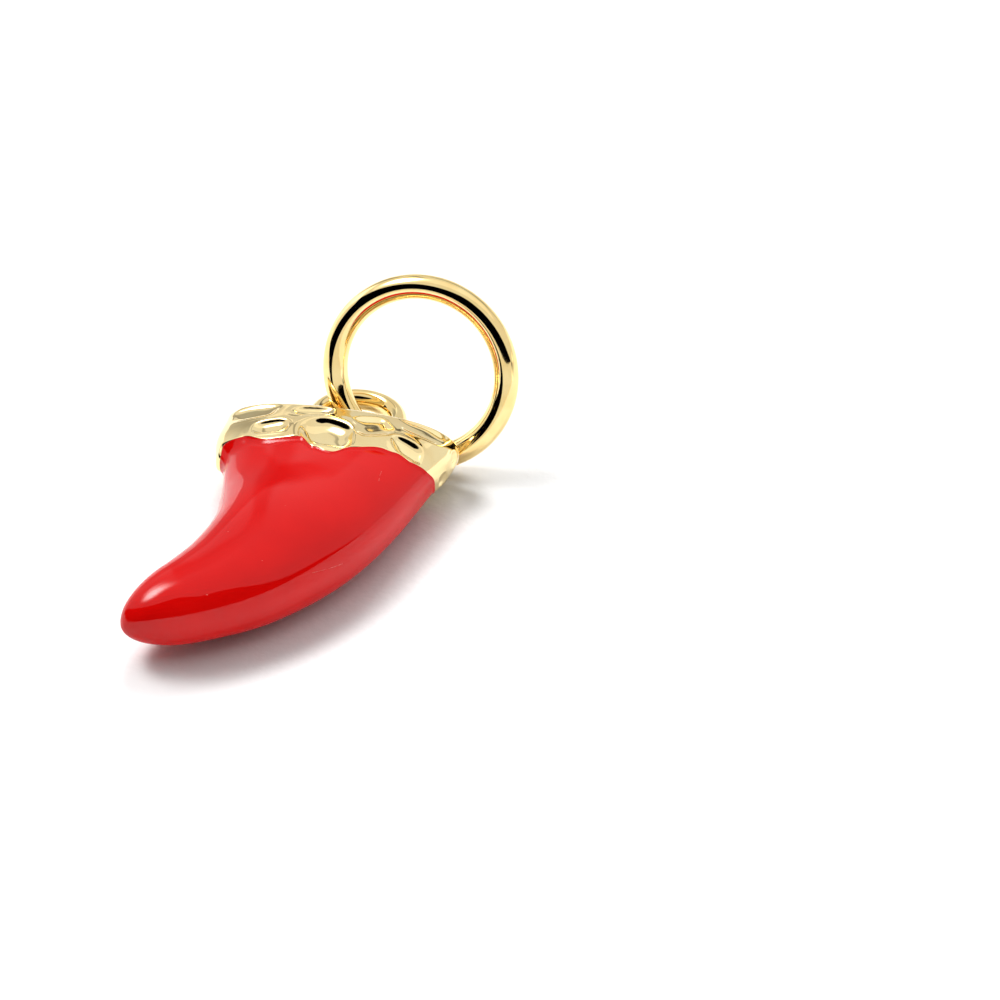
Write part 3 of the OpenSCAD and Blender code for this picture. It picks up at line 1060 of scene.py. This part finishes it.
def set_tent():
    """The tent, as what shines from each direction, and colours shown as a plain camera would."""
    scene = bpy.context.scene
    scene.view_settings.view_transform = "Standard"
    world = bpy.data.worlds.new("light_tent")
    world.use_nodes = True
    tree = world.node_tree
    tree.nodes.clear()
    _, right, level = camera_ways()
    way = add(tree, "ShaderNodeTexCoord").outputs["Generated"]
    rightwards, frontwards, upwards = (
        with_vectors(tree, "DOT_PRODUCT", "Value", {0: way, 1: axis})
        for axis in (right, level, (0, 0, 1))
    )
    turn = calculate(tree, "ARCTAN2", rightwards, frontwards)
    around = calculate(tree, "MULTIPLY", turn, 180 / math.pi)
    rise = calculate(tree, "ARCSINE", upwards)
    up = calculate(tree, "MULTIPLY", rise, 180 / math.pi)

    over = calculate(tree, "SUBTRACT", up, read_off(tree, around, OPENING_TOP))
    shut = stepped(tree, over, -SOFT_EDGE / 2, SOFT_EDGE / 2)
    astern = calculate(tree, "ARCTAN2", rightwards, calculate(tree, "MULTIPLY", frontwards, -1))
    behind = calculate(tree, "MULTIPLY", astern, 180 / math.pi)
    under = calculate(tree, "SUBTRACT", read_off(tree, behind, SHADE_TOP), up)
    shade = calculate(tree, "MULTIPLY", stepped(tree, under, -SOFT_EDGE / 2, SOFT_EDGE / 2),
                      read_off(tree, behind, SHADE_DEPTH))
    off_seam = calculate(tree, "ABSOLUTE", calculate(tree, "SUBTRACT", behind, SEAM_BEHIND))
    seam = calculate(
        tree, "MULTIPLY",
        stepped(tree, off_seam, SEAM_HALF + SEAM_EDGE / 2, SEAM_HALF - SEAM_EDGE / 2),
        stepped(tree, up, SEAM_TOP, SEAM_TOP - SEAM_FADE, 0.0, SEAM_DEPTH),
    )
    cloth = calculate(tree, "MULTIPLY", shut, TENT_GLOW)
    for dark in (shade, seam):
        left = calculate(tree, "SUBTRACT", 1.0, dark)
        cloth = calculate(tree, "MULTIPLY", cloth, left)

    beside = calculate(tree, "MULTIPLY", calculate(tree, "SUBTRACT", around, KEY_AROUND),
                       calculate(tree, "DIVIDE", calculate(tree, "COSINE", rise), KEY_HALF[0]))
    above = calculate(tree, "DIVIDE", calculate(tree, "SUBTRACT", up, KEY_UP), KEY_HALF[1])
    away2 = calculate(tree, "ADD", calculate(tree, "MULTIPLY", beside, beside),
                      calculate(tree, "MULTIPLY", above, above))
    fade = calculate(tree, "POWER", math.exp(-1), calculate(tree, "POWER", away2, KEY_POWER))
    key = calculate(tree, "MULTIPLY", fade, KEY_GLOW)

    shine = add(tree, "ShaderNodeBackground", inputs={
        "Color": tint("#FFFFFF"), "Strength": calculate(tree, "ADD", cloth, key),
    })
    add(tree, "ShaderNodeOutputWorld", inputs={"Surface": shine.outputs["Background"]})
    scene.world = world


def board(name, middle, across, along, glow, pieces):
    """A flat soft lamp for these pieces alone, which faces the charm. Places are right, front
    and up, in metres."""
    _, right, level = camera_ways()
    room = Matrix((right, level, (0, 0, 1))).transposed()
    place, x, y = (room @ Vector(v) for v in (middle, across, along))
    if x.cross(y).dot(place) < 0:
        x, y = y, x
    data = bpy.data.lights.new(name, "AREA")
    data.shape = "RECTANGLE"
    data.size = x.length * 2
    data.size_y = y.length * 2
    data.energy = glow * math.pi * data.size * data.size_y
    lit = placed(name, data)
    axes = Matrix((x.normalized(), y.normalized(), x.cross(y).normalized())).transposed()
    lit.matrix_world = Matrix.Translation(place) @ axes.to_4x4()
    lit.visible_camera = False
    group = bpy.data.collections.new(name + "_lights")
    for piece in pieces:
        group.objects.link(piece)
    lit.light_linking.receiver_collection = group
    return lit


def set_boards(boards, pieces, glossy=True):
    """Sets up boards that light these pieces. With glossy off they show in no reflection."""
    for name, (middle, across, along, glow) in boards.items():
        board(name, middle, across, along, glow, pieces).visible_glossy = glossy


gold = plated_gold()
wire_gold = ring_gold()
solder = run_solder()
enamel = glossy_enamel()
paper = table_paper()

set_camera()
set_tent()
table = set_table(paper)

wire_tree = wire_loop_tree()
cast_body = make_cast_body(gold)
enamel_coat = make_enamel_coat(enamel)
jump_ring = make_jump_ring(wire_tree, wire_gold)
wire_eye = make_wire_eye(wire_tree, wire_gold)
eye_solder = make_eye_solder(solder)
set_boards(METAL_BOARDS, (cast_body, wire_eye, eye_solder, jump_ring))
set_boards(CAST_BOARDS, (cast_body, wire_eye, eye_solder))
set_boards(RING_BOARDS, (jump_ring,))
set_boards(TABLE_LIGHT, (table,), glossy=False)
set_boards(COAT_LIGHT, (enamel_coat,), glossy=False)

FINISHES = {
    cast_body: "cast_gold",
    wire_eye: "cast_gold",
    eye_solder: "cast_gold",
    enamel_coat: "red_enamel",
    jump_ring: "ring_gold",
}
for piece, slot in FINISHES.items():
    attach(piece, BODY)
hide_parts("gold_casting")
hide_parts("red_enamel")
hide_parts("jump_ring")
